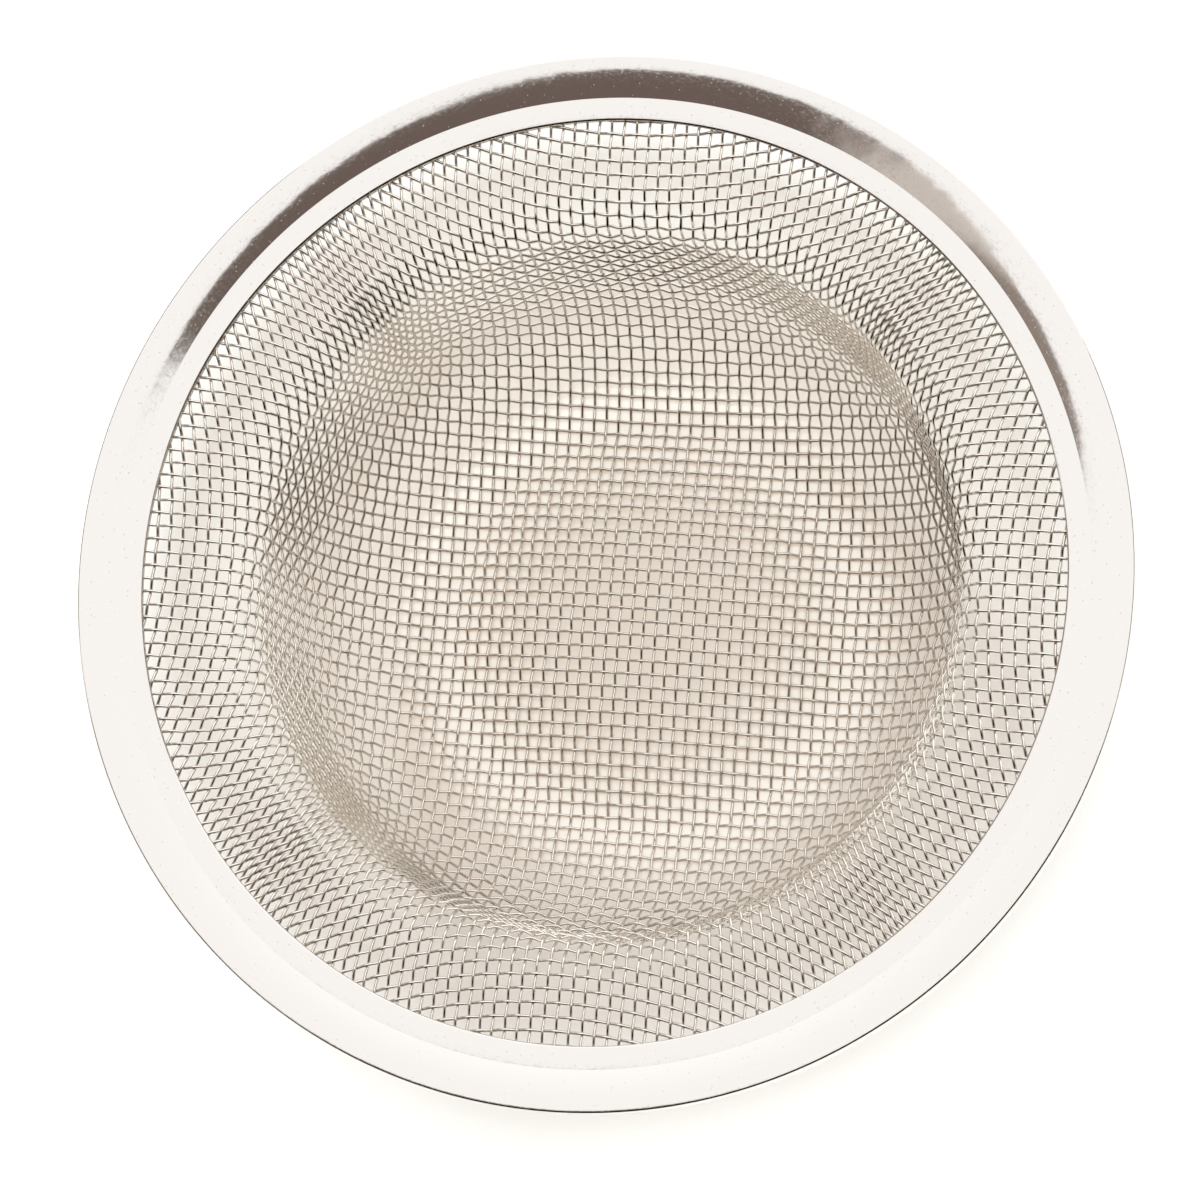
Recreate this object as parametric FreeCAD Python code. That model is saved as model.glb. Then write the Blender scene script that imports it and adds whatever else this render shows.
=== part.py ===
"""Sink strainer: a bowl of plain-woven steel wire cloth, with its edge hemmed in a folded steel rim.

The cloth is pressed from a flat square weave. Its wires keep their pitch along the two wire
directions and close up like a trellis along the diagonals, which sets the path of every wire.
Millimetres, +Z up, origin in the middle of the ring that the bowl stands on.
"""
import FreeCAD
import Part

import math
import os

# Rim: a steel strip folded round the edge of the cloth
rim_d = 110.0
rim_w = 6.8
lip_w = 2.4
crown_slope = 15.0
bead_h = 2.36
upper_fold_r = 0.25
lower_fold_r = 0.4
sheet_t = 0.4
lower_leaf_setback = 0.3
outside_quarter_flats = 2
inside_quarter_flats = 1

# Bowl, measured on the middle of the cloth
bowl_d = 73.4
bowl_depth = 30.0
foot_d = 44.4
flange_slope = 3.0
wall_slope = 85.0
floor_slope = 14.0
dome_slope = 16.0
shoulder_r = 5.0
floor_bend_r = 15.0
foot_bend_r = 3.0

# Wire cloth: warp wires run along Y and weft wires along X
wire_d = 0.34
warp_pitch = 1.354
weft_pitch = 1.432
cloth_turn = -4.5
cell_closing = 0.47
closing_reach = 0.4
drawn_every = 3

# Fits
cloth_grip = 2.8
cloth_clearance = 0.05
crossing_gap = 0.1

# A wire is a three-sided prism, as thick across the cloth as the round wire
wire_corner = wire_d / math.sqrt(3)
crossing_offset = (wire_d + crossing_gap) / 2
slot_half = crossing_offset + wire_d / 2 + cloth_clearance

rim_inner_r = rim_d / 2 - rim_w
halvings = 40


def bowl_runs():
    """Runs of the bowl's section from its centre to the edge, as (length, slope at the start, bend)."""
    flange, wall = math.radians(flange_slope), math.radians(wall_slope)
    floor, dome = math.radians(floor_slope), math.radians(dome_slope)
    mouth_r = bowl_d / 2
    foot_r = foot_d / 2

    # The flange keeps what the shoulder leaves of it
    shoulder_share = math.sin(wall) - math.sin(flange)
    shoulder = min(shoulder_r, (rim_inner_r - mouth_r) / shoulder_share)
    flange_run = (rim_inner_r - mouth_r - shoulder * shoulder_share) / math.cos(flange)
    shoulder_depth = shoulder * (math.cos(flange) - math.cos(wall)) + flange_run * math.sin(flange)

    # The wall and the floor meet in a corner, which the floor bend rounds off
    width = mouth_r - foot_r - foot_bend_r * math.sin(floor)
    depth = bowl_depth - shoulder_depth - foot_bend_r * (1 - math.cos(floor))
    corner = wall - floor
    wall_run = (depth * math.cos(floor) - width * math.sin(floor)) / math.sin(corner)
    floor_run = (width * math.sin(wall) - depth * math.cos(wall)) / math.sin(corner)
    floor_bend = min(floor_bend_r, min(wall_run, floor_run) / math.tan(corner / 2))
    cut_back = floor_bend * math.tan(corner / 2)

    dome_r = foot_r / math.sin(dome) - foot_bend_r
    return [
        (dome_r * dome, 0.0, -1 / dome_r),
        (foot_bend_r * (dome + floor), -dome, 1 / foot_bend_r),
        (floor_run - cut_back, floor, 0.0),
        (floor_bend * corner, floor, 1 / floor_bend),
        (wall_run - cut_back, wall, 0.0),
        (shoulder * (wall - flange), wall, -1 / shoulder),
        (flange_run, flange, 0.0),
        (cloth_grip, 0.0, 0.0),
    ]


def along(run_length, slope, bend):
    """Radius and height gained along a run, and the slope at its end."""
    if bend == 0.0:
        return run_length * math.cos(slope), run_length * math.sin(slope), slope
    end = slope + run_length * bend
    return (math.sin(end) - math.sin(slope)) / bend, (math.cos(slope) - math.cos(end)) / bend, end


class BowlSection:
    """The bowl's section: radius, height and slope at any distance along the cloth from the centre."""

    def __init__(self):
        self.runs = []
        start, r, z = 0.0, 0.0, 0.0
        for length, slope, bend in bowl_runs():
            self.runs.append((start, r, z, slope, bend))
            dr, dz, _ = along(length, slope, bend)
            start, r, z = start + length, r + dr, z + dz
        self.length = start
        self.edge_z = z

    def at(self, distance):
        start, r, z, slope, bend = [run for run in self.runs if run[0] <= distance][-1]
        dr, dz, slope = along(distance - start, slope, bend)
        return r + dr, z + dz - self.edge_z, slope


class Cloth:
    """Places a point of the flat cloth on the pressed bowl."""

    STEP = 0.25

    def __init__(self):
        self.section = BowlSection()
        self.diagonal = [(0.0, 1.0)]
        flat, reach = 0.0, 0.0
        # Along a diagonal the cells close across it and open along it, with wires of constant pitch
        while flat < self.section.length:
            radius = self.section.at(reach)[0]
            gathered = reach / radius - 1 if radius else 0.0
            closing = 1 - (1 - cell_closing) * min(1.0, gathered / closing_reach)
            across = min(1.0, radius * closing / flat) if flat else 1.0
            flat += self.STEP
            reach += self.STEP * math.sqrt(2 - across**2)
            self.diagonal.append((reach, closing))

    def on_diagonal(self, flat):
        """Distance along the section, and how far the cells have closed, on a diagonal of the cloth."""
        k = min(int(flat / self.STEP), len(self.diagonal) - 2)
        share = min(flat / self.STEP - k, 1.0)
        low, high = self.diagonal[k], self.diagonal[k + 1]
        return [a + (b - a) * share for a, b in zip(low, high)]

    def distance_and_angle(self, u, v):
        """Distance along the section and angle round it, for a point of the flat cloth."""
        flat = math.hypot(u, v)
        turn = math.atan2(v, u)
        quarter = round(turn / (math.pi / 2))
        x = (turn - quarter * math.pi / 2) / (math.pi / 4)
        reach, closing = self.on_diagonal(flat)
        distance = flat + (reach - flat) * math.sin(2 * turn) ** 2
        radius = self.section.at(flat)[0]
        spread = max(1.0, flat / radius) if radius else 1.0
        # Round the bowl: true pitch beside the wire directions, closed up at the diagonals
        y = abs(x)
        y = spread * y + (3 - 2 * spread - closing) * y**2 + (spread + closing - 2) * y**3
        return distance, (2 * quarter + math.copysign(y, x)) * math.pi / 4

    def point(self, u, v, offset):
        """A point on the bowl, moved out of the cloth by the offset, and the cloth's normal there."""
        distance, angle = self.distance_and_angle(u, v)
        r, z, slope = self.section.at(distance)
        angle += math.radians(cloth_turn)
        outward = FreeCAD.Vector(math.cos(angle), math.sin(angle), 0)
        normal = outward * -math.sin(slope) + FreeCAD.Vector(0, 0, math.cos(slope))
        return outward * r + FreeCAD.Vector(0, 0, z) + normal * offset, normal

    def within(self, u, v):
        return self.distance_and_angle(u, v)[0] < self.section.length

    def edge_stop(self, inside, outside):
        """The stop between two stops of a wire (u, v, offset) that lies on the cloth's edge."""
        for _ in range(halvings):
            middle = [(a + b) / 2 for a, b in zip(inside, outside)]
            if self.within(*middle[:2]):
                inside = middle
            else:
                outside = middle
        return inside


def wire_route(cloth, crossings):
    """Points and normals of one wire: over and under at its crossings, ending at the cloth's edge."""
    kept = [k for k, stop in enumerate(crossings) if cloth.within(*stop[:2])]
    if len(kept) < 2:
        return []
    first, last = kept[0], kept[-1]
    head = cloth.edge_stop(crossings[first], crossings[first - 1])
    tail = cloth.edge_stop(crossings[last], crossings[last + 1])
    return [cloth.point(*stop) for stop in [head, *crossings[first : last + 1], tail]]


def flat_face(corners):
    return Part.Face(Part.makePolygon([*corners, corners[0]]))


def prism(sections):
    """A solid with flat sides from one section's corners to the next, closed at both ends."""
    faces = [flat_face(sections[0]), flat_face(sections[-1])]
    for near, far in zip(sections, sections[1:]):
        for k in range(len(near)):
            faces.append(flat_face([near[k - 1], near[k], far[k], far[k - 1]]))
    shell = Part.makeShell(faces)
    shell.sewShape()
    solid = Part.makeSolid(shell)
    if solid.Volume < 0:
        solid.reverse()
    return solid


def wire_solid(route):
    """A three-sided prism along a wire's route, mitred at each of its points."""
    points = [point for point, _ in route]
    ahead = [(b - a).normalize() for a, b in zip(points, points[1:])]
    side = ahead[0].cross(route[0][1]).normalize()
    sections = []
    for k, point in enumerate(points):
        before = ahead[max(k - 1, 0)]
        after = ahead[min(k, len(ahead) - 1)]
        mitre = before + after
        up = side.cross(before)
        corners = []
        for third in range(3):
            turn = third * 2 * math.pi / 3
            corner = (side * math.cos(turn) + up * math.sin(turn)) * wire_corner
            corners.append(point + corner - before * (corner.dot(mitre) / before.dot(mitre)))
        sections.append(corners)
        side = FreeCAD.Rotation(before, after).multVec(side)
    return prism(sections)


def wire_cloth(cloth):
    """All warp wires and all weft wires, each wire a solid of its own."""
    warp_step = warp_pitch * drawn_every
    weft_step = weft_pitch * drawn_every
    warp_count = int(cloth.section.length / warp_step) + 2
    weft_count = int(cloth.section.length / weft_step) + 2

    def crossing(i, j, side):
        over = side if (i + j) % 2 == 0 else -side
        return i * warp_step, j * weft_step, over * crossing_offset

    rows = range(-weft_count, weft_count + 1)
    columns = range(-warp_count, warp_count + 1)
    warp = [wire_route(cloth, [crossing(i, j, 1) for j in rows]) for i in columns]
    weft = [wire_route(cloth, [crossing(i, j, -1) for i in columns]) for j in rows]
    return [[wire_solid(route) for route in routes if route] for routes in (warp, weft)]


def strip_corners():
    """Corners of the folded strip's outside, as (radius, height, bend), from the lip round to the lower leaf."""
    bottom = -slot_half - sheet_t
    lip_z = slot_half + sheet_t
    top = bottom + bead_h
    crease_r = rim_inner_r + lip_w
    crest_r = rim_d / 2 - max(upper_fold_r, sheet_t)

    # The crown rises straight from the crease, then bends over until it is level at the crest
    slope = math.radians(crown_slope)
    crown_r = crease_r + (top - lip_z) / math.tan(slope)
    straight = (top - lip_z) / math.sin(slope)
    crown_bend = min(crest_r - crown_r, straight) / math.tan(slope / 2)
    return [
        (rim_inner_r, lip_z, 0.0),
        (crease_r, lip_z, 0.0),
        (crown_r, top, crown_bend),
        (rim_d / 2, top, upper_fold_r),
        (rim_d / 2, bottom, lower_fold_r),
        (rim_inner_r + lower_leaf_setback, bottom, 0.0),
    ]


def face_of_strip(depth, flats):
    """One face of the folded strip, at a depth below its outside, with flats on each bend."""
    corners = strip_corners()
    places = [FreeCAD.Vector(r, 0, z) for r, z, _ in corners]
    ahead = [(b - a).normalize() for a, b in zip(places, places[1:])]
    axis = FreeCAD.Vector(0, 1, 0)
    inward = [axis.cross(leg) for leg in ahead]
    points = [places[0] + inward[0] * depth]
    for k in range(1, len(ahead)):
        before, after = inward[k - 1], inward[k]
        corner = places[k] + (before + after) * (depth / (1 + before.dot(after)))
        radius = max(corners[k][2] - depth, 0.0)
        turn = before.getAngle(after)
        centre = corner - ahead[k - 1] * (radius * math.tan(turn / 2)) + before * radius
        for step in range(flats + 1 if radius else 1):
            arm = FreeCAD.Rotation(axis, math.degrees(turn) * step / flats).multVec(before)
            points.append(centre - arm * radius)
    points.append(places[-1] + inward[-1] * depth)
    return points


def rim_ring():
    """The rim: upper leaf with a flat lip and a rising crown, folded over to a lower leaf."""
    outside = face_of_strip(0.0, outside_quarter_flats)
    inside = face_of_strip(sheet_t, inside_quarter_flats)
    outline = Part.makePolygon(outside + inside[::-1] + outside[:1])
    return Part.Face(outline).revolve(FreeCAD.Vector(0, 0, 0), FreeCAD.Vector(0, 0, 1), 360)


def main():
    os.makedirs("parts", exist_ok=True)
    warp, weft = wire_cloth(Cloth())
    parts = {
        "rim_ring": rim_ring(),
        "warp_wires": Part.makeCompound(warp),
        "weft_wires": Part.makeCompound(weft),
    }
    # The lowest wire stands on Z = 0
    lowest = min(shape.BoundBox.ZMin for shape in parts.values())
    for name, shape in parts.items():
        shape.translate(FreeCAD.Vector(0, 0, -lowest))
        shape.exportStep(f"parts/{name}.step")


main()
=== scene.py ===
"""Sink strainer: a bowl of woven steel wire cloth in a folded steel rim, on a plain pale floor."""

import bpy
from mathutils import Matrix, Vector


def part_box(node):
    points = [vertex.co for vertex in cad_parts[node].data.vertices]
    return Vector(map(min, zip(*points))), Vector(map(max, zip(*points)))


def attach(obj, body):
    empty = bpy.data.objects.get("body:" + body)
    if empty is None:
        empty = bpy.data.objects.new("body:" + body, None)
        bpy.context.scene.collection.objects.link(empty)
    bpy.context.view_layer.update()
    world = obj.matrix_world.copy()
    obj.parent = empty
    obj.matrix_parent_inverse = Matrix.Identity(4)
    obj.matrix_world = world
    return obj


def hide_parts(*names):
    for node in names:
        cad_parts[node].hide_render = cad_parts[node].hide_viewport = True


bl_info = {
    "name": "Sink strainer",
    "version": (1, 0, 0),
    "blender": (4, 5, 0),
    "location": "3D View > Sidebar > Strainer",
    "description": "Weaves the wire cloth of a sink strainer, folds its rim and sets the studio",
    "category": "Add Mesh",
}

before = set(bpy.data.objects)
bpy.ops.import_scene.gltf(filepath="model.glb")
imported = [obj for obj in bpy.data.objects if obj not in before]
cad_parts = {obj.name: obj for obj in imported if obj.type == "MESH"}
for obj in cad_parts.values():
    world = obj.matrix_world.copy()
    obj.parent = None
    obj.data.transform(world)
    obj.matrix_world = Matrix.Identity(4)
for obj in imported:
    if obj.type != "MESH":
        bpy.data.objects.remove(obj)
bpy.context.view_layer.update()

import math

import bpy
import numpy as np
from bpy.props import FloatProperty, FloatVectorProperty, IntProperty, PointerProperty
from mathutils import Matrix, Vector

MM = 0.001
RIM_LOW, RIM_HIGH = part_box("rim_ring")
RIM_RADIUS = min(-RIM_LOW.x, -RIM_LOW.y, RIM_HIGH.x, RIM_HIGH.y)

# The studio, in metres, with +Y to the back
FLOOR_HALF = 2.2
SHADE_DISTANCE = 2.0
# The painted shade's upper edge runs overhead from left to right and hangs unevenly. Each pair is a place
# along it, from -1 at its left end to 1 at its right end, and its lean to the front there, in degrees
SHADE_EDGE = Vector((1.0, -0.108, 0.0))
EDGE_LEANS = (
    (-0.9, 10), (-0.6, -1.5), (-0.54, -5), (-0.45, -4), (-0.38, -0.5), (-0.25, -4), (-0.19, -4.5),
    (-0.13, -1), (-0.03, -1.5), (0.015, -4.5), (0.15, -1), (0.6, 1),
)

# The picture's side and its shift to the right and up on the lens, in pixels
PICTURE_SIDE = 1200
SHIFT_RIGHT = 3.2
SHIFT_UP = -24.7
# In millimetres, as the focal length
SENSOR_WIDTH = 36.0


def linear(code):
    """Scene-linear RGBA of an sRGB hex colour."""
    values = [int(code[k : k + 2], 16) / 255 for k in (1, 3, 5)]
    return [v / 12.92 if v <= 0.04045 else ((v + 0.055) / 1.055) ** 2.4 for v in values] + [1.0]


def size(name, description, millimetres):
    """A length that can be set."""
    return FloatProperty(name=name, description=description, default=millimetres * MM, unit="LENGTH")


def slope(name, description, degrees):
    """An angle that can be set."""
    return FloatProperty(
        name=name, description=description, default=math.radians(degrees), subtype="ANGLE"
    )


def number(name, description, value):
    """A plain number that can be set."""
    return FloatProperty(name=name, description=description, default=value)


def colour(name, description, code):
    """A colour that can be set."""
    return FloatVectorProperty(
        name=name, description=description, default=linear(code), size=4, subtype="COLOR"
    )


class RimSettings(bpy.types.PropertyGroup):
    """The folded steel rim."""

    width: size("Width", "Rim from its inner to its outer edge", 6.8)
    lip_width: size("Lip width", "Flat inner lip, up to the crease", 2.4)
    lip_slope: slope("Lip slope", "Fall of the lip towards its inner edge", 3.5)
    crown_slope: slope("Crown slope", "Slope of the crown where it rises from the crease", 15)
    crown_height: size("Crown height", "Rise of the crown above the lip", 0.68)
    edge_radius: size("Edge radius", "Fold at the outer edge", 0.2)
    foot_radius: size("Lower edge radius", "Fold from the outer wall to the lower leaf", 0.4)
    sheet: size("Sheet", "Thickness of the steel strip", 0.4)
    hem_gap: size("Hem gap", "Gap between the leaves, which holds the cloth", 0.88)
    leaf_setback: size("Leaf setback", "How far the lower leaf stops short of the lip", 0.3)
    lip_radius: size("Lip radius", "Rounding of the lip's inner edge", 0.24)
    cut_radius: size("Cut radius", "Rounding of the lower leaf's edge", 0.06)
    segments: IntProperty(name="Segments", description="Steps round the ring", default=720, min=90)
    steel: colour("Steel", "Bright rolled sheet", "#DDD9D5")


class ClothSettings(bpy.types.PropertyGroup):
    """The pressed wire cloth."""

    bowl_width: size("Bowl width", "Bowl across its wall, just under the shoulder", 73.4)
    bowl_depth: size("Bowl depth", "From the hem down to the foot ring", 30.0)
    foot_width: size("Foot ring", "Ring that the bowl stands on, across", 44.4)
    flange_slope: slope("Flange slope", "Fall of the flange towards the bowl", 3)
    wall_slope: slope("Wall slope", "Slope of the bowl's wall", 85)
    floor_slope: slope("Floor slope", "Slope of the floor outside the foot ring", 14)
    dome_slope: slope("Dome slope", "Slope of the dome inside the foot ring", 16)
    shoulder_radius: size("Shoulder radius", "Bend from the flange to the wall", 5.0)
    floor_radius: size("Floor radius", "Bend from the wall to the floor", 15.0)
    foot_radius: size("Foot radius", "Bend at the foot ring", 3.0)
    grip: size("Grip", "Edge of the cloth inside the hem", 2.8)
    wire: size("Wire", "Diameter of the wires", 0.34)
    warp_pitch: size("Warp pitch", "From one warp wire to the next", 1.354)
    weft_pitch: size("Weft pitch", "From one weft wire to the next", 1.432)
    turn: slope("Turn", "Turn of the cloth about the bowl's axis", -4.5)
    closing: number("Closing", "Width left to the cells on the diagonals, as a share", 0.47)
    closing_reach: number("Closing reach", "Gather of the cloth at which the cells close", 0.4)
    sides: IntProperty(name="Sides", description="Flats round a wire", default=6, min=3)
    steps: IntProperty(name="Steps", description="Points from one crossing to the next", default=4, min=2)
    steel: colour("Steel", "Drawn wire", "#E8E2DA")


class StageSettings(bpy.types.PropertyGroup):
    """Floor, light and camera."""

    distance: size("Distance", "Camera from the middle of the rim", 450)
    elevation: slope("Elevation", "Camera above the horizon", 74.48)
    azimuth: slope("Azimuth", "Camera from -Y towards +X", 45.16)
    roll: slope("Roll", "Turn of the picture", -45.56)
    focal_length: number("Focal length", "Millimetres, on a 36 mm sensor", 131.76)
    paper: colour("Paper", "What the floor gives back of the light on it", "#AAB3B3")
    # Glow colours of the floor: the bowl's and the flange's are painted shade under the strainer, and the
    # open one lifts the paper to white. With the bluish paper they make the shade warm
    painted_shade_bowl: colour("Glow under the bowl", "Light through the paper under the bowl", "#947357")
    painted_shade_flange: colour("Glow under the flange", "Light through the paper under the flange", "#9D8575")
    glow_open: colour("Glow in the open", "Light through the paper round the strainer", "#BFB3AB")
    # Glowing colours that paint the studio's unlit side, and a paler gap in it, for the steel to mirror:
    # painted shade and a painted reflection
    studio_shade: colour("Felt", "Dark side of the studio, overhead", "#796B64")
    studio_shade_end: colour("Felt end", "Dark side of the studio, overhead at its left end", "#A0948B")
    painted_pale_gap: colour("Felt gap", "Paler gap between the two", "#E6DED7")
    studio_shade_low: colour("Felt, low", "Dark side of the studio, lower down", "#140D08")
    top_power: number("Top light", "Watts of the soft light overhead", 27.0)
    back_power: number("Back light", "Watts of the low light from the back", 10.0)
    room_level: number("Room", "Brightness of the white room", 1.3)
    room_back: number("Room, back", "Brightness of the room behind the strainer", 1.45)


class StrainerSettings(bpy.types.PropertyGroup):
    """Everything that can be set."""

    rim: PointerProperty(type=RimSettings)
    cloth: PointerProperty(type=ClothSettings)
    stage: PointerProperty(type=StageSettings)


def add_node(tree, kind, inputs=None, **settings):
    """Adds a node, sets its properties, and sets or links its inputs, named or numbered."""
    node = tree.nodes.new(kind)
    for name, value in settings.items():
        setattr(node, name, value)
    for key, value in (inputs or {}).items():
        if isinstance(value, bpy.types.NodeSocket):
            tree.links.new(value, node.inputs[key])
        else:
            node.inputs[key].default_value = value
    return node


def new_material(name):
    """An empty material and its node tree."""
    material = bpy.data.materials.new(name)
    material.use_nodes = True
    material.node_tree.nodes.clear()
    return material, material.node_tree


def link_object(name, data):
    """A new object in the scene, at the origin."""
    made = bpy.data.objects.new(name, data)
    bpy.context.scene.collection.objects.link(made)
    return made


def hem_height(rim):
    """Height of the middle of the cloth inside the hem."""
    return RIM_LOW.z + rim.sheet + rim.hem_gap / 2


# The bowl's section and the lay of the cloth


def bowl_runs(cloth, rim):
    """Runs of the bowl's section from its centre to the edge, as (length, slope at the start, bend)."""
    flange, wall, floor, dome = cloth.flange_slope, cloth.wall_slope, cloth.floor_slope, cloth.dome_slope
    mouth, foot = cloth.bowl_width / 2, cloth.foot_width / 2
    reach = RIM_RADIUS - rim.width - mouth
    share = math.sin(wall) - math.sin(flange)
    shoulder = min(cloth.shoulder_radius, reach / share)
    flange_run = (reach - shoulder * share) / math.cos(flange)
    shoulder_depth = shoulder * (math.cos(flange) - math.cos(wall)) + flange_run * math.sin(flange)
    width = mouth - foot - cloth.foot_radius * math.sin(floor)
    depth = cloth.bowl_depth - shoulder_depth - cloth.foot_radius * (1 - math.cos(floor))
    corner = wall - floor
    wall_run = (depth * math.cos(floor) - width * math.sin(floor)) / math.sin(corner)
    floor_run = (width * math.sin(wall) - depth * math.cos(wall)) / math.sin(corner)
    if min(wall_run, floor_run) <= 0:
        raise RuntimeError("The bowl is too shallow or too narrow for the slopes of its wall and floor")
    floor_bend = min(cloth.floor_radius, min(wall_run, floor_run) / math.tan(corner / 2))
    cut_back = floor_bend * math.tan(corner / 2)
    dome_radius = foot / math.sin(dome) - cloth.foot_radius
    return [
        (dome_radius * dome, 0.0, -1 / dome_radius),
        (cloth.foot_radius * (dome + floor), -dome, 1 / cloth.foot_radius),
        (floor_run - cut_back, floor, 0.0),
        (floor_bend * corner, floor, 1 / floor_bend),
        (wall_run - cut_back, wall, 0.0),
        (shoulder * (wall - flange), wall, -1 / shoulder),
        (flange_run, flange, 0.0),
        (cloth.grip, 0.0, 0.0),
    ]


def along(run, start, bend):
    """Radius and height gained along runs, and the slopes at their ends."""
    end = start + run * bend
    straight = bend == 0
    curve = np.where(straight, 1.0, bend)
    reach = np.where(straight, run * np.cos(start), (np.sin(end) - np.sin(start)) / curve)
    rise = np.where(straight, run * np.sin(start), (np.cos(start) - np.cos(end)) / curve)
    return reach, rise, end


class Drape:
    """Lays the flat cloth on the pressed bowl: true pitch along the wires, closed up on the diagonals."""

    STEP = 0.25 * MM
    # Least radius, which keeps the spread finite at the centre
    NEAR_CENTRE = 0.025 * MM

    def __init__(self, cloth, rim):
        self.cloth = cloth
        runs = np.array(bowl_runs(cloth, rim))
        reach, rise, _ = along(*runs.T)
        self.slopes, self.bends = runs[:, 1], runs[:, 2]
        self.starts = np.concatenate([[0.0], np.cumsum(runs[:, 0])])
        self.radii = np.concatenate([[0.0], np.cumsum(reach)])
        self.heights = np.concatenate([[0.0], np.cumsum(rise)])
        self.length = self.starts[-1]
        self.hem = hem_height(rim)
        self.flat = np.arange(0.0, self.length + 2 * self.STEP, self.STEP)
        self.diagonal, self.closed = [0.0], [1.0]
        for flat in self.flat[:-1]:
            distance = self.diagonal[-1]
            radius = float(self.section(distance)[0])
            gathered = distance / radius - 1 if radius else 0.0
            closing = 1 - (1 - cloth.closing) * min(1.0, gathered / cloth.closing_reach)
            across = min(1.0, radius * closing / flat) if flat else 1.0
            self.diagonal.append(distance + self.STEP * math.sqrt(2 - across**2))
            self.closed.append(closing)

    def section(self, distance):
        """Radius, height and slope at distances along the section."""
        k = np.clip(np.searchsorted(self.starts, distance, side="right") - 1, 0, len(self.slopes) - 1)
        reach, rise, end = along(distance - self.starts[k], self.slopes[k], self.bends[k])
        return self.radii[k] + reach, self.heights[k] + rise - self.heights[-1], end

    def distance_and_angle(self, u, v):
        """Where points of the flat cloth come to lie: distance along the section, angle about the axis.

        From a wire through the centre to the next diagonal, the angle follows a cubic: it keeps the true
        pitch beside the wire and closes up the cells at the diagonal.
        """
        flat, turn = np.hypot(u, v), np.arctan2(v, u)
        quarter = np.round(turn / (math.pi / 2))
        x = (turn - quarter * math.pi / 2) / (math.pi / 4)
        closing = np.interp(flat, self.flat, self.closed)
        distance = flat + (np.interp(flat, self.flat, self.diagonal) - flat) * np.sin(2 * turn) ** 2
        radius = self.section(flat)[0]
        spread = np.maximum(1.0, flat / np.maximum(radius, self.NEAR_CENTRE))
        y = np.abs(x)
        y = spread * y + (3 - 2 * spread - closing) * y**2 + (spread + closing - 2) * y**3
        return distance, (2 * quarter + np.copysign(y, x)) * math.pi / 4

    def place(self, u, v):
        """Points on the bowl and the cloth's normals there."""
        distance, angle = self.distance_and_angle(u, v)
        radius, height, tilt = self.section(distance)
        angle = angle + self.cloth.turn
        outward = np.stack([np.cos(angle), np.sin(angle), np.zeros_like(angle)], 1)
        up = np.array([0.0, 0.0, 1.0])
        normals = outward * -np.sin(tilt)[:, None] + up * np.cos(tilt)[:, None]
        return outward * radius[:, None] + up * (height + self.hem)[:, None], normals


def wire_path(drape, line_at, pitch, parity, steps):
    """Points, normals and weave of one wire, from edge to edge of the cloth.

    The weave runs from 1 where the wire lies over its neighbour to -1 where it lies under.
    """
    count = int(drape.length / pitch * steps) + steps
    t = np.arange(-count, count + 1) / steps
    inside = np.flatnonzero(drape.distance_and_angle(*line_at(t * pitch))[0] < drape.length)
    if len(inside) < 2 * steps:
        return None
    first, last = inside[0], inside[-1]
    distances = drape.distance_and_angle(*line_at(t[[first, first - 1, last, last + 1]] * pitch))[0]
    head = t[first] - (drape.length - distances[0]) / (distances[1] - distances[0]) / steps
    tail = t[last] + (drape.length - distances[2]) / (distances[3] - distances[2]) / steps
    t = np.concatenate([[head], t[first : last + 1], [tail]])
    points, normals = drape.place(*line_at(t * pitch))
    return points, normals, parity * np.cos(math.pi * t)


def woven_wire_tree():
    """Node tree that crimps the paths of wires over and under each other and makes them round."""
    tree = bpy.data.node_groups.new("Woven wires", "GeometryNodeTree")
    inputs = [
        ("Paths", "NodeSocketGeometry"),
        ("Wire radius", "NodeSocketFloat"),
        ("Crimp", "NodeSocketFloat"),
        ("Sides", "NodeSocketInt"),
        ("Steel", "NodeSocketMaterial"),
    ]
    for name, kind in inputs:
        tree.interface.new_socket(name, in_out="INPUT", socket_type=kind)
    tree.interface.new_socket("Wires", in_out="OUTPUT", socket_type="NodeSocketGeometry")
    given = add_node(tree, "NodeGroupInput").outputs
    weave = add_node(tree, "GeometryNodeInputNamedAttribute", {"Name": "weave"}, data_type="FLOAT")
    normal = add_node(
        tree, "GeometryNodeInputNamedAttribute", {"Name": "cloth_normal"}, data_type="FLOAT_VECTOR"
    )
    lift = add_node(tree, "ShaderNodeMath", {0: weave.outputs[0], 1: given["Crimp"]}, operation="MULTIPLY")
    offset = add_node(
        tree, "ShaderNodeVectorMath", {0: normal.outputs[0], "Scale": lift.outputs[0]}, operation="SCALE"
    )
    crimped = add_node(
        tree, "GeometryNodeSetPosition", {"Geometry": given["Paths"], "Offset": offset.outputs[0]}
    )
    curves = add_node(tree, "GeometryNodeMeshToCurve", {"Mesh": crimped.outputs[0]})
    section = add_node(
        tree,
        "GeometryNodeCurvePrimitiveCircle",
        {"Resolution": given["Sides"], "Radius": given["Wire radius"]},
    )
    tubes = add_node(
        tree,
        "GeometryNodeCurveToMesh",
        {"Curve": curves.outputs[0], "Profile Curve": section.outputs[0], "Fill Caps": True},
    )
    smooth = add_node(tree, "GeometryNodeSetShadeSmooth", {"Geometry": tubes.outputs[0]})
    real = add_node(tree, "GeometryNodeRealizeInstances", {"Geometry": smooth.outputs[0]})
    steel = add_node(
        tree, "GeometryNodeSetMaterial", {"Geometry": real.outputs[0], "Material": given["Steel"]}
    )
    add_node(tree, "NodeGroupOutput", {"Wires": steel.outputs[0]})
    return tree


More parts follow.
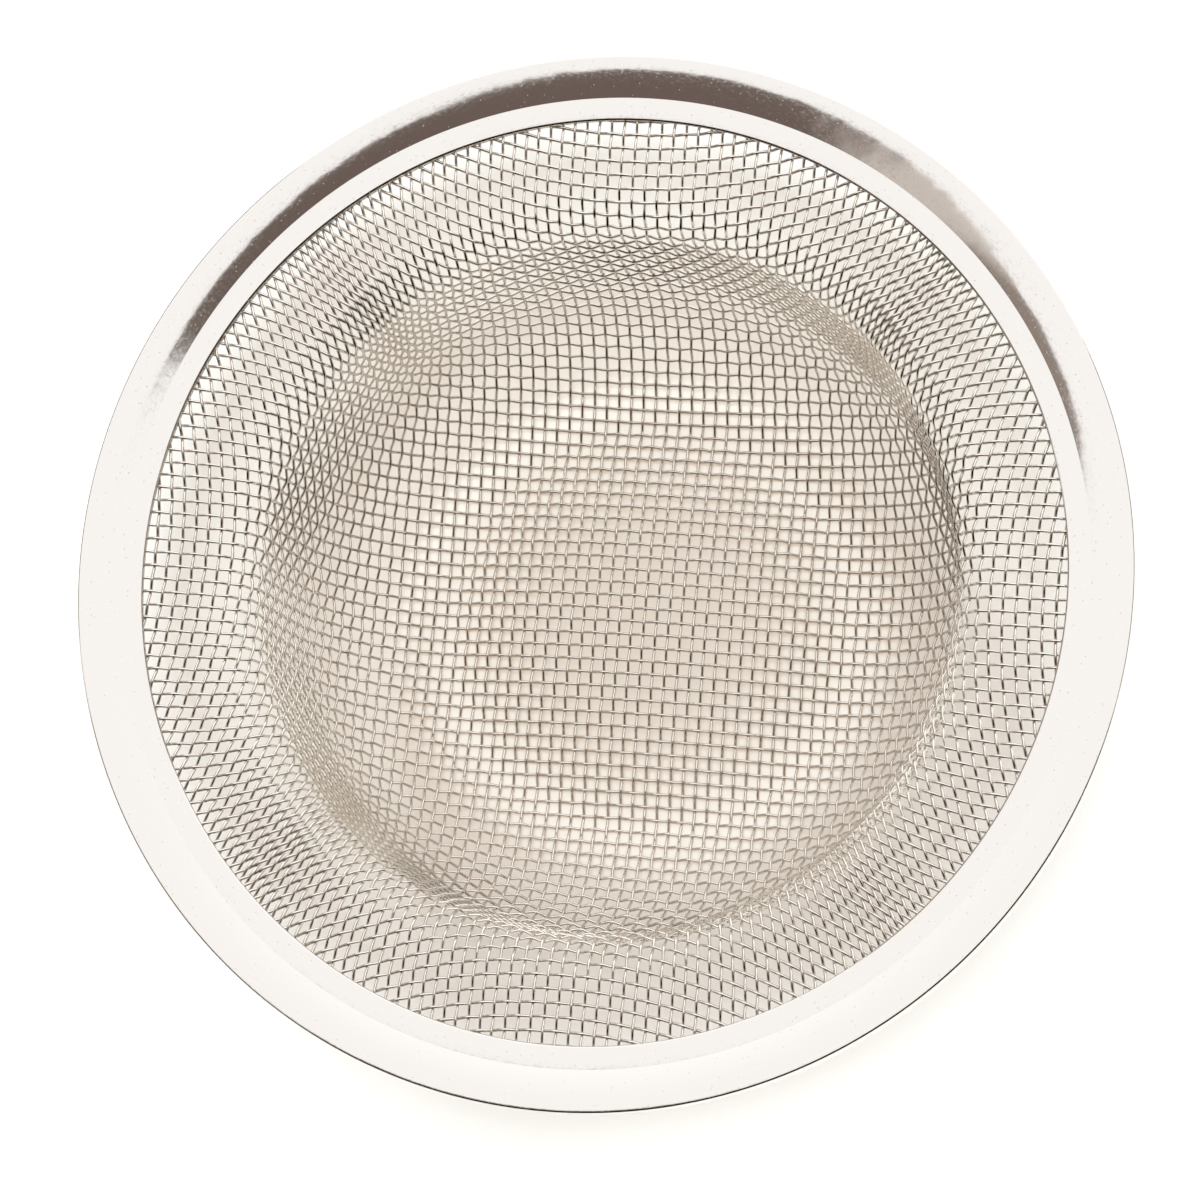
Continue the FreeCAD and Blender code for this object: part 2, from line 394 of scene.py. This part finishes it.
def wires_piece(name, paths, inputs):
    """One piece of cloth wires: paths as edges, made round by the node tree and kept as a plain mesh."""
    points, normals, weaves = (np.concatenate(parts) for parts in zip(*paths))
    edges, start = [], 0
    for path_points, _, _ in paths:
        count = len(path_points)
        k = np.arange(start, start + count - 1)
        edges.append(np.stack([k, k + 1], 1))
        start += count
    mesh = bpy.data.meshes.new(name)
    mesh.from_pydata(points.tolist(), np.concatenate(edges).tolist(), [])
    cloth_normal = mesh.attributes.new("cloth_normal", "FLOAT_VECTOR", "POINT")
    cloth_normal.data.foreach_set("vector", normals.ravel())
    weave = mesh.attributes.new("weave", "FLOAT", "POINT")
    weave.data.foreach_set("value", weaves)
    piece = link_object(name, mesh)
    modifier = piece.modifiers.new("Woven wires", "NODES")
    modifier.node_group = bpy.data.node_groups.get("Woven wires") or woven_wire_tree()
    for socket in modifier.node_group.interface.items_tree:
        if socket.in_out == "INPUT" and socket.name in inputs:
            modifier[socket.identifier] = inputs[socket.name]
    graph = bpy.context.evaluated_depsgraph_get()
    plain = bpy.data.meshes.new_from_object(piece.evaluated_get(graph), depsgraph=graph)
    piece.modifiers.clear()
    piece.data = plain
    return piece


def make_wires(node, line_for, pitch, across_pitch, side, part_names):
    """All wires of one direction, in a few pieces that together stand for the CAD node.

    line_for gives the line of a wire on the flat cloth. The pitch runs along the wire, from one crossing
    to the next. The side is 1 where the middle wire lies on top at the centre, and -1 where it lies under.
    """
    settings = bpy.context.scene.strainer
    cloth = settings.cloth
    drape = Drape(cloth, settings.rim)
    reach = int(drape.length / across_pitch) + 1
    paths = []
    for index in range(-reach, reach + 1):
        parity = side if index % 2 == 0 else -side
        path = wire_path(drape, line_for(index * across_pitch), pitch, parity, cloth.steps)
        if path:
            paths.append(path)
    if len(paths) < len(part_names):
        raise RuntimeError(f"{node}: the pitch leaves too few wires for its pieces")
    inputs = {
        "Wire radius": cloth.wire / 2,
        "Crimp": cloth.wire / 2,
        "Sides": cloth.sides,
        "Steel": drawn_wire(cloth),
    }
    cuts = np.linspace(0, len(paths), len(part_names) + 1).astype(int)
    for part_name, first, last in zip(part_names, cuts, cuts[1:]):
        piece = wires_piece(f"{node}_{part_name}", paths[first:last], inputs)
        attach(piece, "root")
        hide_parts(node)


# The rim


def arc(centre, radius, start, end, steps):
    """Points of an arc in the rim's section, as (radius, height)."""
    angles = np.linspace(start, end, steps + 1)
    return [(centre[0] + radius * math.cos(a), centre[1] + radius * math.sin(a)) for a in angles]


def folded_strip(rim):
    """Closed outline of the folded strip: lip, crown, outer edge, lower leaf, and back along the inside."""
    fold_steps, crown_steps, hidden_steps = 8, 16, 4
    hair = 0.02 * MM
    right = math.pi / 2
    inner = RIM_RADIUS - rim.width
    leaf = inner + rim.leaf_setback
    half = rim.hem_gap / 2
    lip_top, bottom = half + rim.sheet, -half - rim.sheet
    top = lip_top + rim.crown_height

    # The crown is one shallow bend, from the crease to the fold at the edge
    crease = inner + rim.lip_width
    edge_centre = (RIM_RADIUS - rim.edge_radius, top - rim.edge_radius)
    edge_slope = 2 * math.atan2(rim.crown_height, edge_centre[0] - crease) - rim.crown_slope
    crest = edge_centre[0] - rim.edge_radius * math.sin(edge_slope)
    if crest <= crease:
        raise RuntimeError("The rim is too narrow for its lip and its outer fold")
    bend = (crest - crease) / (math.sin(rim.crown_slope) - math.sin(edge_slope))
    crown_centre = (
        crease + bend * math.sin(rim.crown_slope),
        lip_top - bend * math.cos(rim.crown_slope),
    )
    rise, crest_turn = right + rim.crown_slope, right + edge_slope

    foot_centre = (RIM_RADIUS - rim.foot_radius, bottom + rim.foot_radius)
    cut_centre = (leaf + rim.cut_radius, bottom + rim.cut_radius)
    lip_fall = (rim.lip_width - rim.lip_radius) * math.tan(rim.lip_slope)
    lip_centre = (inner + rim.lip_radius, lip_top - lip_fall - rim.lip_radius)

    def crease_points(depth):
        """The crease, held sharp by a point close to it on both sides."""
        at = crease - depth * math.tan(rim.crown_slope / 2)
        lean = (math.cos(rim.crown_slope) * hair, math.sin(rim.crown_slope) * hair)
        level = lip_top - depth
        return [(at - hair, level), (at, level), (at + lean[0], level + lean[1])]

    upper = [
        *arc(lip_centre, rim.lip_radius, 2 * right, right + rim.lip_slope, fold_steps),
        *crease_points(0.0),
        *arc(crown_centre, bend, rise, crest_turn, crown_steps)[1:-1],
        *arc(edge_centre, rim.edge_radius, crest_turn, 0.0, fold_steps),
    ]
    lower = [
        *arc(foot_centre, rim.foot_radius, 0.0, -right, fold_steps),
        *arc(cut_centre, rim.cut_radius, -right, -2 * right, hidden_steps),
    ]
    inside = [
        (leaf, -half),
        (RIM_RADIUS - rim.sheet, -half),
        *arc(crown_centre, bend - rim.sheet, crest_turn, rise, hidden_steps)[1:-1],
        *crease_points(rim.sheet)[::-1],
        (inner, half),
    ]
    return upper + lower + inside


def lathe(name, outline, height, segments):
    """A closed ring turned from an outline, with the strip's own coordinates for its finish."""
    outline = np.array(outline)
    count = len(outline)
    angles = np.arange(segments) * 2 * math.pi / segments
    ring = np.stack([np.cos(angles), np.sin(angles)], 1)
    points = np.empty((segments, count, 3))
    points[:, :, :2] = ring[:, None, :] * outline[None, :, 0, None]
    points[:, :, 2] = outline[None, :, 1] + height
    k = np.arange(segments)[:, None] * count
    next_k = (np.arange(segments)[:, None] + 1) % segments * count
    m = np.arange(count)[None, :]
    next_m = (m + 1) % count
    faces = np.stack([k + m, k + next_m, next_k + next_m, next_k + m], 2).reshape(-1, 4)
    mesh = bpy.data.meshes.new(name)
    mesh.from_pydata(points.reshape(-1, 3).tolist(), [], faces.tolist())
    mesh.shade_smooth()
    steps = np.linalg.norm(np.diff(outline, axis=0, prepend=outline[:1]), axis=1)
    strip = np.empty((segments, count, 3))
    strip[:, :, :2] = ring[:, None, :] * RIM_RADIUS
    strip[:, :, 2] = np.cumsum(steps)[None, :]
    lay = mesh.attributes.new("strip", "FLOAT_VECTOR", "POINT")
    lay.data.foreach_set("vector", strip.ravel())
    return mesh


# Materials


def rolled_sheet(rim):
    """Bright rolled stainless sheet: it mirrors the studio, slightly broken by waves, grain and specks."""
    grain_width, grain_height = 0.18 * MM, 0.001 * MM
    grain_stretch = (0.4, 0.4, 1.0)
    speck_spacing = 0.7 * MM
    wave_length, wave_height = 4 * MM, 0.018 * MM
    material, tree = new_material("Stainless steel sheet, bright rolled and folded")
    place = add_node(tree, "ShaderNodeTexCoord").outputs["Object"]
    lay = add_node(tree, "ShaderNodeAttribute", attribute_name="strip").outputs["Vector"]
    # Rolling grain, drawn out along the strip: it scatters a little light into the dark reflections.
    # The real grain is too fine to show, so it is drawn coarser
    stretched = add_node(tree, "ShaderNodeMapping", {"Vector": lay, "Scale": grain_stretch})
    grain = add_node(
        tree,
        "ShaderNodeTexNoise",
        {"Vector": stretched.outputs[0], "Scale": 1 / grain_width, "Detail": 3.0, "Roughness": 0.6},
    )
    dull = add_node(
        tree,
        "ShaderNodeMapRange",
        {"Value": grain.outputs[0], "From Min": 0.5, "From Max": 0.7, "To Min": 0.07, "To Max": 0.16},
    )
    # Specks of scuffed steel, which catch the light where the rest is dark
    cells = add_node(
        tree, "ShaderNodeTexVoronoi", {"Vector": place, "Scale": 1 / speck_spacing, "Randomness": 1.0}
    )
    specks = add_node(
        tree,
        "ShaderNodeMapRange",
        {
            "Value": cells.outputs["Distance"],
            "From Min": 0.06,
            "From Max": 0.13,
            "To Min": 0.45,
            "To Max": 0.0,
        },
    )
    rough = add_node(
        tree, "ShaderNodeMath", {0: dull.outputs[0], 1: specks.outputs[0]}, operation="MAXIMUM"
    )
    # Waves left by the folding, a few millimetres long, which bend the edges of the reflections
    waves = add_node(
        tree,
        "ShaderNodeTexNoise",
        {"Vector": place, "Scale": 1 / wave_length, "Detail": 2.0, "Roughness": 0.45},
    )
    folds = add_node(
        tree, "ShaderNodeBump", {"Height": waves.outputs[0], "Strength": 1.0, "Distance": wave_height}
    )
    relief = add_node(
        tree,
        "ShaderNodeBump",
        {"Height": grain.outputs[0], "Normal": folds.outputs[0], "Strength": 1.0, "Distance": grain_height},
    )
    shader = add_node(
        tree,
        "ShaderNodeBsdfPrincipled",
        {
            "Base Color": list(rim.steel),
            "Metallic": 1.0,
            "Roughness": rough.outputs[0],
            "Normal": relief.outputs[0],
        },
    )
    add_node(tree, "ShaderNodeOutputMaterial", {"Surface": shader.outputs[0]})
    return material


def drawn_wire(cloth):
    """Drawn stainless wire: bright on top, dark where it turns to the dark side of the studio."""
    name = "Stainless steel wire, drawn and woven"
    known = bpy.data.materials.get(name)
    if known:
        return known
    mottle_size = 1.1 * MM
    material, tree = new_material(name)
    place = add_node(tree, "ShaderNodeTexCoord").outputs["Object"]
    # Duller patches left by the drawing, which break up the shine from one cell to the next
    mottle = add_node(
        tree,
        "ShaderNodeTexNoise",
        {"Vector": place, "Scale": 1 / mottle_size, "Detail": 2.0, "Roughness": 0.5},
    )
    rough = add_node(
        tree,
        "ShaderNodeMapRange",
        {"Value": mottle.outputs[0], "From Min": 0.3, "From Max": 0.7, "To Min": 0.1, "To Max": 0.2},
    )
    shader = add_node(
        tree,
        "ShaderNodeBsdfPrincipled",
        {"Base Color": list(cloth.steel), "Metallic": 1.0, "Roughness": rough.outputs[0]},
    )
    add_node(tree, "ShaderNodeOutputMaterial", {"Surface": shader.outputs[0]})
    return material


def pale_floor(stage):
    """Matt white paper with a glow seen by camera, glossy and transmission rays: it lifts the open floor to
    white and paints a warmer, darker shade under the bowl and flange.
    """
    # Painted shade: the glow is least under the bowl, more under the flange and most in the open, from a
    # middle a little to the back left
    shade_centre = (-5.5 * MM, 5.5 * MM, 0)
    shade_inner, shade_outer = 30 * MM, 52 * MM
    material, tree = new_material("Paper, matt white, with painted shade")
    path = add_node(tree, "ShaderNodeLightPath").outputs
    seen = add_node(
        tree, "ShaderNodeMath", {0: path["Is Camera Ray"], 1: path["Is Glossy Ray"]}, operation="MAXIMUM"
    )
    shown = add_node(
        tree, "ShaderNodeMath", {0: seen.outputs[0], 1: path["Is Transmission Ray"]}, operation="MAXIMUM"
    )
    paper = add_node(tree, "ShaderNodeBsdfDiffuse", {"Color": list(stage.paper)})
    place = add_node(tree, "ShaderNodeTexCoord").outputs["Object"]
    reach = add_node(tree, "ShaderNodeVectorMath", {0: place, 1: shade_centre}, operation="DISTANCE")
    share = add_node(
        tree,
        "ShaderNodeMapRange",
        {"Value": reach.outputs["Value"], "From Min": shade_inner, "From Max": shade_outer},
    )
    ramp = add_node(tree, "ShaderNodeValToRGB", {"Fac": share.outputs[0]})
    stops = ramp.color_ramp.elements
    stops[0].position, stops[0].color = 0.0, stage.painted_shade_bowl
    stops[1].position, stops[1].color = 1.0, stage.glow_open
    stops.new(0.5).color = stage.painted_shade_flange
    stops.new(0.8).color = stage.painted_shade_flange
    glow = add_node(tree, "ShaderNodeEmission", {"Color": ramp.outputs[0], "Strength": shown.outputs[0]})
    both = add_node(tree, "ShaderNodeAddShader", {0: paper.outputs[0], 1: glow.outputs[0]})
    add_node(tree, "ShaderNodeOutputMaterial", {"Surface": both.outputs[0]})
    return material


def painted_studio_shade(stage):
    """Glowing sheets that paint the studio's unlit side for the steel to mirror: painted shade, paler
    overhead, with a painted pale gap.
    """
    # The shade changes along a slant overhead, and again further down to the front
    shade_slant = (1.0, -0.575, 0.0)
    shade_start, shade_end = -0.6 * SHADE_DISTANCE, -0.2 * SHADE_DISTANCE
    low_start, low_end = -0.22 * SHADE_DISTANCE, -0.36 * SHADE_DISTANCE
    material, tree = new_material("Studio shade, painted as a glowing sheet")
    place = add_node(tree, "ShaderNodeTexCoord").outputs["Object"]
    slant = add_node(tree, "ShaderNodeVectorMath", {0: place, 1: shade_slant}, operation="DOT_PRODUCT")
    across = add_node(
        tree,
        "ShaderNodeMapRange",
        {"Value": slant.outputs["Value"], "From Min": shade_start, "From Max": shade_end},
    )
    overhead = add_node(tree, "ShaderNodeValToRGB", {"Fac": across.outputs[0]})
    stops = overhead.color_ramp.elements
    stops[0].position, stops[0].color = 0.40, stage.studio_shade_end
    stops[1].position, stops[1].color = 0.80, stage.studio_shade
    stops.new(0.50).color = stage.painted_pale_gap
    stops.new(0.70).color = stage.painted_pale_gap
    front = add_node(tree, "ShaderNodeSeparateXYZ", {"Vector": place}).outputs["Y"]
    lower = add_node(
        tree, "ShaderNodeMapRange", {"Value": front, "From Min": low_start, "From Max": low_end}
    )
    shade = add_node(
        tree,
        "ShaderNodeMix",
        {"Factor": lower.outputs[0], "A": overhead.outputs[0], "B": list(stage.studio_shade_low)},
        data_type="RGBA",
    )
    # The sheet glows in these colours, though it is no lamp: painted shade and a painted pale gap
    glow = add_node(tree, "ShaderNodeEmission", {"Color": shade.outputs["Result"]})
    add_node(tree, "ShaderNodeOutputMaterial", {"Surface": glow.outputs[0]})
    return material


# Stage


def shell(name, directions, material):
    """A sheet of the studio at the painted shade's distance, which the steel mirrors and the camera doesn't
    see.
    """
    rows, columns = len(directions), len(directions[0])
    points = [d * SHADE_DISTANCE for row in directions for d in row]
    faces = []
    for a in range(rows - 1):
        for b in range(columns - 1):
            k = a * columns + b
            faces.append((k, k + 1, k + columns + 1, k + columns))
    mesh = bpy.data.meshes.new(name)
    mesh.from_pydata(points, [], faces)
    mesh.materials.append(material)
    sheet = link_object(name, mesh)
    sheet.visible_camera = False


def dark_side(stage):
    """The unlit side of the studio, painted on glowing sheets: a quarter of a dome in front, and a card at
    each side.
    """
    # The front stops just short of a quarter turn each way, where its columns would meet in one point
    front_turn = 1.57
    front_rows, front_columns = 24, 256
    # The cards' turn to the back, and their heights above the floor in degrees
    card_turn = math.radians(45)
    left_top, right_top = 50, 40
    card_rows, card_columns = 8, 12
    studio_shade = painted_studio_shade(stage)
    edge = SHADE_EDGE.normalized()
    up = Vector((0, 0, 1))
    front = edge.cross(up)
    columns = np.linspace(-front_turn, front_turn, front_columns)
    places, degrees = zip(*EDGE_LEANS)
    leans = np.radians(np.interp(np.sin(columns), places, degrees))
    rows = []
    for share in np.linspace(0, 1, front_rows):
        row = []
        for turn, lean in zip(columns, leans):
            tilt = lean + (math.pi / 2 - lean) * share
            towards = up * math.cos(tilt) + front * math.sin(tilt)
            row.append(edge * math.sin(turn) + towards * math.cos(turn))
        rows.append(row)
    shell("dark_front", rows, studio_shade)
    for name, side, top in (("dark_left", -1, left_top), ("dark_right", 1, right_top)):
        turns = np.linspace(0, card_turn, card_columns)
        level = [edge * side * math.cos(t) - front * math.sin(t) for t in turns]
        heights = np.radians(np.linspace(0, top, card_rows))
        rows = [[d * math.cos(height) + up * math.sin(height) for d in level] for height in heights]
        shell(name, rows, studio_shade)


def pale_ground(stage):
    """A broad sheet of paper under the strainer."""
    mesh = bpy.data.meshes.new("floor")
    h = FLOOR_HALF
    mesh.from_pydata([(-h, -h, 0), (h, -h, 0), (h, h, 0), (-h, h, 0)], [], [(0, 1, 2, 3)])
    mesh.materials.append(pale_floor(stage))
    link_object("floor", mesh)


def soft_light(name, towards, distance, side, power):
    """A square of soft light. It shades the floor; the steel mirrors the white room in its place."""
    light = bpy.data.lights.new(name, "AREA")
    light.shape = "SQUARE"
    light.size = side
    light.energy = power
    made = link_object(name, light)
    made.visible_glossy = False
    made.location = towards.normalized() * distance
    made.rotation_euler = towards.to_track_quat("Z", "Y").to_euler()


def white_room(stage):
    """A white room, brightest low behind the strainer."""
    # Shares of the way round to the back
    brighter_from, brightest_from = 0.25, 0.75
    world = bpy.data.worlds.new("studio")
    world.use_nodes = True
    tree = world.node_tree
    tree.nodes.clear()
    way = add_node(tree, "ShaderNodeTexCoord").outputs["Generated"]
    back = add_node(tree, "ShaderNodeSeparateXYZ", {"Vector": way}).outputs["Y"]
    level = add_node(
        tree,
        "ShaderNodeMapRange",
        {
            "Value": back,
            "From Min": brighter_from,
            "From Max": brightest_from,
            "To Min": stage.room_level,
            "To Max": stage.room_back,
        },
        interpolation_type="SMOOTHSTEP",
    )
    sky = add_node(tree, "ShaderNodeBackground", {"Color": (1, 1, 1, 1), "Strength": level.outputs[0]})
    add_node(tree, "ShaderNodeOutputWorld", {"Surface": sky.outputs[0]})
    bpy.context.scene.world = world


def high_camera(stage, rim):
    """The camera, high over the strainer and rolled so that +Y points up in the picture."""
    back = Vector((
        math.cos(stage.elevation) * math.sin(stage.azimuth),
        -math.cos(stage.elevation) * math.cos(stage.azimuth),
        math.sin(stage.elevation),
    ))
    level = Vector((math.cos(stage.azimuth), math.sin(stage.azimuth), 0.0))
    lean = back.cross(level)
    right = level * math.cos(stage.roll) + lean * math.sin(stage.roll)
    up = lean * math.cos(stage.roll) - level * math.sin(stage.roll)
    data = bpy.data.cameras.new("camera")
    data.sensor_width = SENSOR_WIDTH
    data.lens = stage.focal_length
    data.shift_x = SHIFT_RIGHT / PICTURE_SIDE
    data.shift_y = SHIFT_UP / PICTURE_SIDE
    camera = link_object("camera", data)
    place = Vector((0, 0, hem_height(rim))) + back * stage.distance
    camera.matrix_world = Matrix.Translation(place) @ Matrix((right, up, back)).transposed().to_4x4()
    bpy.context.scene.camera = camera


# Operators


class STRAINER_OT_rim(bpy.types.Operator):
    """Fold the steel rim round the edge of the cloth"""

    bl_idname = "strainer.rim"
    bl_label = "Folded rim"

    def execute(self, context):
        rim = context.scene.strainer.rim
        mesh = lathe("folded_rim", folded_strip(rim), hem_height(rim), rim.segments)
        mesh.materials.append(rolled_sheet(rim))
        piece = link_object("folded_rim", mesh)
        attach(piece, "root")
        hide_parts("rim_ring")
        return {"FINISHED"}


class STRAINER_OT_warp(bpy.types.Operator):
    """Weave the warp wires, which run along Y"""

    bl_idname = "strainer.warp"
    bl_label = "Warp wires"

    def execute(self, context):
        cloth = context.scene.strainer.cloth

        def line_for(u):
            return lambda v: (np.full_like(v, u), v)

        parts = ("left", "middle", "right")
        make_wires("warp_wires", line_for, cloth.weft_pitch, cloth.warp_pitch, 1, parts)
        return {"FINISHED"}


class STRAINER_OT_weft(bpy.types.Operator):
    """Weave the weft wires, which run along X"""

    bl_idname = "strainer.weft"
    bl_label = "Weft wires"

    def execute(self, context):
        cloth = context.scene.strainer.cloth

        def line_for(v):
            return lambda u: (u, np.full_like(u, v))

        parts = ("front", "middle", "back")
        make_wires("weft_wires", line_for, cloth.warp_pitch, cloth.weft_pitch, -1, parts)
        return {"FINISHED"}


class STRAINER_OT_stage(bpy.types.Operator):
    """Set the floor, the light and the camera"""

    bl_idname = "strainer.stage"
    bl_label = "Stage"

    def execute(self, context):
        settings = context.scene.strainer
        stage = settings.stage
        pale_ground(stage)
        dark_side(stage)
        overhead, low_back = Vector((0.15, -0.08, 0.985)), Vector((-0.35, 0.85, 0.38))
        soft_light("top_light", overhead, distance=1.5, side=0.6, power=stage.top_power)
        soft_light("back_light", low_back, distance=1.2, side=0.3, power=stage.back_power)
        white_room(stage)
        high_camera(stage, settings.rim)
        context.scene.view_settings.view_transform = "Standard"
        return {"FINISHED"}


OPERATORS = (STRAINER_OT_rim, STRAINER_OT_warp, STRAINER_OT_weft, STRAINER_OT_stage)


class STRAINER_PT_panel(bpy.types.Panel):
    """Lists the strainer's pieces"""

    bl_idname = "STRAINER_PT_panel"
    bl_label = "Sink strainer"
    bl_space_type = "VIEW_3D"
    bl_region_type = "UI"
    bl_category = "Strainer"

    def draw(self, context):
        for operator in OPERATORS:
            self.layout.operator(operator.bl_idname)


CLASSES = (RimSettings, ClothSettings, StageSettings, StrainerSettings, *OPERATORS, STRAINER_PT_panel)


def register():
    for each in CLASSES:
        bpy.utils.register_class(each)
    bpy.types.Scene.strainer = PointerProperty(type=StrainerSettings)


def unregister():
    del bpy.types.Scene.strainer
    for each in reversed(CLASSES):
        bpy.utils.unregister_class(each)


def main():
    register()
    bpy.ops.strainer.rim()
    bpy.ops.strainer.warp()
    bpy.ops.strainer.weft()
    bpy.ops.strainer.stage()


if __name__ == "__main__":
    main()
